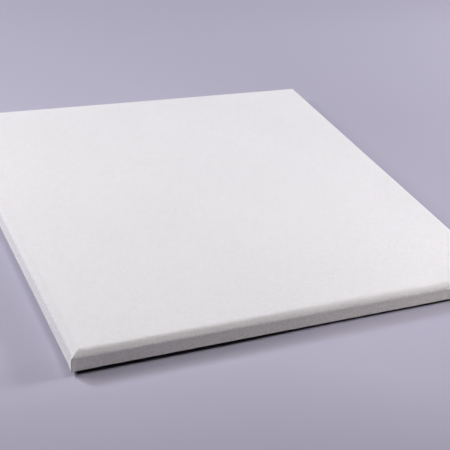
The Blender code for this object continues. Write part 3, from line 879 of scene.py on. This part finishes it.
def make_screw(name, sizes, place, node):
    length, radius, _, head_height, pitch = sizes
    relief = screw_relief(length, radius, head_height, pitch)
    mesh = turned_mesh(name, screw_profile(*sizes), 64, place, relief)
    add_piece(mesh, ZINC, nodes=[node])


def make_block_screws():
    """Two screws through each corner block, one into each rail."""
    height = (WOOD_LOW + BLOCK_HIGH) / 2
    along = BLOCK_CORNER - 34 * MM
    into_top = Matrix.Translation((along, BLOCK_CORNER, height)) @ Matrix.Rotation(-QUARTER, 4, "X")
    into_right = Matrix.Translation((BLOCK_CORNER, along, height)) @ Matrix.Rotation(QUARTER, 4, "Y")
    sunk = Matrix.Translation((0, 0, -10.3 * MM))
    for k, corner in enumerate(CORNERS):
        spin = Matrix.Rotation(k * QUARTER, 4, "Z")
        for letter, way in (("a", into_top), ("b", into_right)):
            end = f"{corner}_{letter}"
            make_screw(f"wood_screw_{end}", BLOCK_SCREW, spin @ way @ sunk, f"block_screw_{end}")


def make_short_screw(name, place, node, turn):
    spun = Matrix.Translation(place) @ Matrix.Rotation(turn, 4, "Z")
    make_screw(name, SHORT_SCREW, spun, node)


def make_bumpers():
    """Moulded feet: a closed section with soft edges turned about the screw, and the screw."""
    bearing = 2.1 * MM
    bore = 1.8 * MM
    corners = [
        (4 * MM, BUMPER_HEIGHT),
        (6.5 * MM, BUMPER_HEIGHT),
        (5.6 * MM, 0.0),
        (3.8 * MM, 0.0),
        (3.8 * MM, bearing),
        (bore, bearing),
        (bore, BUMPER_HEIGHT),
        (4 * MM, BUMPER_HEIGHT),
    ]
    radii = (0.35 * MM, 0.8 * MM, 0.45 * MM, 0.25 * MM, 0.15 * MM, 0.15 * MM)
    line = rounded_line(corners, radii, 0.45 * MM, math.radians(15))
    for number, name in enumerate(CORNERS):
        x = RAIL_MIDDLE if name.endswith("right") else -RAIL_MIDDLE
        y = BUMPER_Y if name.startswith("top") else -BUMPER_Y
        mesh = turned_mesh(f"rubber_foot_{name}", line, 56, Matrix.Translation((x, y, 0)))
        add_piece(mesh, RUBBER, nodes=[f"bumper_{name}"])
        spot = (x, y, bearing - 0.3 * MM)
        make_short_screw(f"foot_screw_{name}", spot, f"bumper_screw_{name}", 0.4 + 0.7 * number)


def staple_grid():
    """One staple at the origin: flat wire with soft edges carried up a leg, round a bend, along the
    crown and down the other leg, each leg cut to a chisel point."""
    half, leg, thick, wide = 4.7 * MM, 7.8 * MM, 0.6 * MM, 1.2 * MM
    corners = [(-half, 0, leg), (-half, 0, 0), (half, 0, 0), (half, 0, leg)]
    path = rounded_line(corners, (0.75 * MM, 0.75 * MM), 2.6 * MM, math.radians(18))
    outline = [(-1, 0), (-1, -1), (1, -1), (1, 1), (-1, 1), (-1, 0)]
    outline = np.array(outline) * (thick / 2, wide / 2)
    section = rounded_line(outline, (0.2 * MM,) * 4, 1.0 * MM, math.radians(45))
    grid = swept_grid(path, section, (0, 1, 0))
    grid[..., 1] *= 1 - 0.75 * np.clip((grid[..., 2] - leg + 1.2 * MM) / (1.2 * MM), 0, 1)
    return grid


def make_staples():
    """A row of staples along each side. Five of each row stand for the CAD's own."""
    one = staple_grid()
    draw = np.random.default_rng(11)
    for k, side in enumerate(SIDES):
        spin = Matrix.Rotation(k * QUARTER, 4, "Z")
        grids = []
        for along in staple_stations(side):
            skew = Matrix.Rotation(draw.normal(0, 0.025), 4, "Z")
            x = along + draw.normal(0, 0.25 * MM)
            y = -STAPLE_LINE + draw.normal(0, 0.2 * MM)
            grids.append(moved(one, spin @ Matrix.Translation((x, y, CROWN_TOP - 0.3 * MM)) @ skew))
        mesh = new_mesh(f"staple_row_{side}", grids, closed=True, weld=1e-6)
        nodes = [f"staple_{side}_{i}" for i in range(1, 6)]
        add_piece(mesh, STAPLE_STEEL, nodes=nodes)


def plate_patch(outline, hole, radius):
    """A flat plate round a hole: the hole's circle drawn out to the outline along straight lines."""
    away = outline - hole
    circle = hole + radius * on_circle(np.arctan2(away[:, 1], away[:, 0]))
    share = np.linspace(0, 1, 5)[:, None, None]
    return circle * (1 - share) + outline * share


def strap_outlines(width, middle, tail, corner):
    """The two plates of the strap's tongue, as closed outlines: from its eye to half way between
    the screws, and from there to its rounded end."""
    side = np.linspace(-width / 2, width / 2, 9)
    top = np.stack([side, 0 * side], axis=-1)
    cut = top - (0, middle)
    down = np.linspace(0, middle, 9)
    edge = np.stack([0 * down, -down], axis=-1)
    right, left = edge + (width / 2, 0), edge - (width / 2, 0)
    upper = np.concatenate([top, right[1:], cut[::-1][1:], left[::-1][1:]])
    ends = [(0, -tail), (-width / 2, -tail), (-width / 2, -middle)]
    left = rounded_line(ends, (corner,), 1.2 * MM, math.radians(15))
    lower = np.concatenate([cut, (left[::-1] * (-1, 1))[1:], left[1:]])
    return upper, lower


def make_hanger_straps():
    """Steel straps: a flat tongue with two screw holes and a strip rolled round the ring's bar. The
    middle surface is built and then given its thickness and soft edges."""
    width, thick, middle, tail = 10 * MM, 0.7 * MM, 11 * MM, 21 * MM
    eye = 1.4 * MM
    holes = {"upper": 6.5 * MM, "lower": 15.5 * MM}
    plates = zip(strap_outlines(width, middle, tail, 3 * MM), holes.values())
    plates = [plate_patch(outline, np.array([0, -hole]), 1.75 * MM) for outline, hole in plates]
    grids = [np.concatenate([plate, 0 * plate[..., :1] + eye], axis=-1) for plate in plates]
    roll = QUARTER - np.linspace(0, math.radians(290), 40)
    across, roll = np.meshgrid(np.linspace(-width / 2, width / 2, 9), roll)
    grids.append(np.stack([across, eye * np.cos(roll), eye * np.sin(roll)], axis=-1))
    for side, x in (("left", -RAIL_MIDDLE), ("right", RAIL_MIDDLE)):
        placed = [grid + (x, HANGER_Y, PIVOT_HEIGHT) for grid in grids]
        mesh = new_mesh(f"rolled_strap_{side}", placed, closed=True)
        strap = add_piece(mesh, ZINC, nodes=[f"hanger_strap_{side}"])
        give_thickness(strap, thick, 0.0)
        bevel = strap.modifiers.new("soft_edges", "BEVEL")
        bevel.width = 0.12 * MM
        bevel.segments = 2
        bevel.limit_method = "ANGLE"
        bevel.angle_limit = math.radians(40)
        bevel.harden_normals = False
        for number, (level, hole) in enumerate(holes.items()):
            turn = 0.3 + 0.9 * number + (0.5 if side == "left" else 0.0)
            spot = (x, HANGER_Y - hole, 2.9 * MM)
            make_short_screw(f"strap_screw_{side}_{level}", spot, f"hanger_screw_{side}_{level}", turn)


def ring_path():
    """The D's wire, from the middle of its straight bar round the bow and back to the bar."""
    half, arm, bend, gap = 8 * MM, 3 * MM, 1.5 * MM, 0.08 * MM
    bar = np.linspace(gap, half - bend, 8)[:-1]
    bar = np.stack([bar, 0 * bar], axis=-1)
    corner = bend * on_circle(np.linspace(-QUARTER, 0, 9)) + (half - bend, bend)
    bow = half * on_circle(np.linspace(0, math.pi, 49)) + (0, arm)
    flat = [bar, corner, bow, corner[::-1] * (-1, 1), bar[::-1] * (-1, 1)]
    flat = without_doubles(np.concatenate(flat))
    return np.concatenate([flat, 0 * flat[:, :1]], axis=-1)


def make_rings():
    """Round wire along the ring's path. Its ends meet inside the eye."""
    wire = 0.9 * MM * on_circle(np.linspace(0, TURN, 25))
    grid = swept_grid(ring_path(), wire, (0, 0, 1))
    for side, x in (("left", -RAIL_MIDDLE), ("right", RAIL_MIDDLE)):
        leaning = Matrix.Rotation(-RING_DROP, 4, "X")
        place = Matrix.Translation((x, HANGER_Y, PIVOT_HEIGHT)) @ leaning
        mesh = new_mesh(f"wire_ring_{side}", [moved(grid, place)], closed=True)
        nodes = [f"hanger_ring_{side}"]
        add_piece(mesh, ZINC, nodes, body=f"ring_{side}")


def dress_timber():
    """The rails and corner blocks keep their CAD shapes. The grain runs along each stick."""
    finishes = {f"rail_{side}": LONG_WAYS if side in ("bottom", "top") else UP_WAYS for side in SIDES}
    for name in CORNERS:
        rising = name in ("top_left", "bottom_right")
        finishes[f"corner_block_{name}"] = BLOCK_ONE if rising else BLOCK_TWO
    for name, material in finishes.items():
        for slot in NODES[name].material_slots:
            slot.material = material


# Floor, light and camera


def floor_level(x, y):
    """The sheet that the panel lies on. It is flat but for a slight wave under the near edge, low
    at the left and high at the right."""
    rise = smooth_step((x + 100 * MM) / (160 * MM)) * (1 - smooth_step((x - 0.9) / 0.5))
    dip = smooth_step((x + 0.7) / 0.3) * (1 - smooth_step((x + 150 * MM) / (150 * MM)))
    off_feet = 1 - smooth_step((np.abs(y + 302 * MM) - 6 * MM) / (32 * MM))
    return (1.2 * rise - 0.9 * dip) * MM * off_feet


def seen_directly(tree):
    """1 for what the camera sees, also in gloss or through glass."""
    rays = add_node(tree, "LightPath", {})
    seen = rays["Is Camera Ray"].math("MAXIMUM", rays["Is Glossy Ray"])
    return seen.math("MAXIMUM", rays["Is Transmission Ray"])


def floor_material():
    """Lavender-grey paper, with a faint tooth and slow random changes of tone, and painted shade that
    darkens it towards the camera and at the right. Painted shade makes it nearly black under the
    panel, where the photograph's gap is black. Far from the panel the camera sees it in the even
    shade of the backdrop, which lights nothing."""
    material, tree = new_material("lavender_grey_paper")
    place = object_place(tree)
    across, along, _ = place.axes()
    tooth = place.noise(700.0, 3.0, 0.6)
    cloud = place.noise(2.2, 3.0)
    # Painted shade: the paper is darkened towards the camera (near) and at the right (right).
    near = (cloud * 0.1 + across * 0.35 + along).spread(-0.32, -0.50, 0.0, 0.70)
    right = across.spread(0.05, 0.35, 0.0, 0.45) * along.spread(0.6, 0.2)
    beside = (abs(across) + 6 * MM).math("MAXIMUM", abs(along))
    # Painted shade: under the panel the paper is painted nearly black, standing in for the dark gap.
    under = beside.spread(HALF_SIDE + 0.5 * MM, HALF_SIDE - 1.5 * MM, 0.0, 0.85)
    colour = tooth.blend((0.425, 0.404, 0.501), (0.456, 0.435, 0.537))
    colour = cloud.spread(0.3, 0.7, 0.0, 0.25).blend(colour, (0.456, 0.423, 0.519))
    # Blends in the painted shade towards the camera and at the right.
    colour = near.math("MAXIMUM", right).blend(colour, (0.336, 0.318, 0.396))
    # Blends in the painted black shade under the panel.
    colour = under.blend(colour, (0.020, 0.019, 0.023))
    away = add_node(tree, "VectorMath", {0: place, 1: PICTURED}, operation="DISTANCE")["Value"]
    pictured = (1.0 - away.spread(0.93, 1.20)).math("POWER", 1.5)
    seen = (1.0 - pictured) * seen_directly(tree)
    others = {"Emission Color": BACKDROP, "Emission Strength": seen, "Specular IOR Level": 0.0}
    bumps = [(tooth, 0.1 * MM, 0.6)]
    return finish_material(material, seen.blend(colour, (0, 0, 0)), 0.9, bumps, others)


def make_floor():
    """A wide sheet, finely divided near the panel's near edge."""
    far = 40.0
    x = np.concatenate([[-far, -4, -1], np.linspace(-0.8, 1.6, 121), [4, far]])
    y = np.concatenate([[-far, -4, -1], np.linspace(-0.36, -0.24, 61), [0.5, 1, 4, far]])
    x, y = np.meshgrid(x, y)
    mesh = new_mesh("paper_floor", [np.stack([x, y, floor_level(x, y)], axis=-1)])
    mesh.materials.append(floor_material())
    add_object(mesh)


def add_softbox(name, place, level, side, colour=(1, 1, 1)):
    """A square lamp that faces the panel's middle. level is what it gives there on a flat surface
    that faces it, where 1 renders a colour as it is written."""
    data = bpy.data.lights.new(name, "AREA")
    data.shape = "SQUARE"
    data.size = side
    data.color = colour
    towards = Vector(place)
    data.energy = level * (math.pi * towards.length) ** 2
    lamp = add_object(data)
    lamp.location = place
    lamp.rotation_mode = "QUATERNION"
    lamp.rotation_quaternion = towards.to_track_quat("Z", "Y")
    lamp.visible_camera = False


def make_light():
    """A window from the far left, a lamp at the right, a weaker one from above and one from the
    left, a low one that fills the near side, and a small one over the near corner."""
    add_softbox("window", (-2.640, 2.949, 3.00), 0.551, 0.94, (0.945, 1.0, 1.085))
    add_softbox("overhead_softbox", (0.900, -0.200, 3.40), 0.194, 0.80)
    add_softbox("right_softbox", (1.800, -0.220, 0.80), 0.650, 0.36, (1.03, 1.0, 1.0))
    add_softbox("left_softbox", (-1.200, 0.300, 0.90), 0.417, 0.40, (1.05, 1.0, 0.94))
    add_softbox("low_softbox", (0.900, -1.200, 0.10), 0.141, 0.16, (1.06, 1.0, 0.77))
    add_softbox("corner_softbox", (0.310, -0.345, 0.29), 0.054, 0.16)


def make_world():
    """Low light from all round. The camera, gloss and glass see the paper's own colour instead."""
    world = bpy.data.worlds.new("studio")
    world.use_nodes = True
    bpy.context.scene.world = world
    tree = world.node_tree
    tree.nodes.clear()
    dim = add_node(tree, "Background", {0: (1, 1, 1, 1), 1: 0.02})[0]
    paper = add_node(tree, "Background", {0: BACKDROP, 1: 1.0})[0]
    mixed = add_node(tree, "MixShader", {0: seen_directly(tree), 1: dim, 2: paper})[0]
    add_node(tree, "OutputWorld", {0: mixed})


def make_camera():
    """The photograph's viewpoint: above the near left corner, turned 29.3 degrees to the right and
    31.3 degrees down, and rolled by 8.2 degrees."""
    yaw, pitch, roll = map(math.radians, (29.286, 31.259, 8.234))
    data = bpy.data.cameras.new("photograph")
    data.sensor_width = 36.0
    data.lens = 82.576
    data.clip_start = 0.01
    camera = add_object(data)
    turned = Matrix.Rotation(-yaw, 4, "Z") @ Matrix.Rotation(QUARTER - pitch, 4, "X")
    turned = turned @ Matrix.Rotation(roll, 4, "Z")
    camera.matrix_world = Matrix.Translation((-0.6053, -1.1388, 0.7556)) @ turned
    bpy.context.scene.camera = camera


make_fabric_cover()
make_face_liner()
make_wool_core()
make_dust_cover()
dress_timber()
make_block_screws()
make_hanger_straps()
make_rings()
make_bumpers()
make_staples()
make_floor()
make_light()
make_world()
make_camera()
bpy.context.scene.view_settings.view_transform = "Standard"
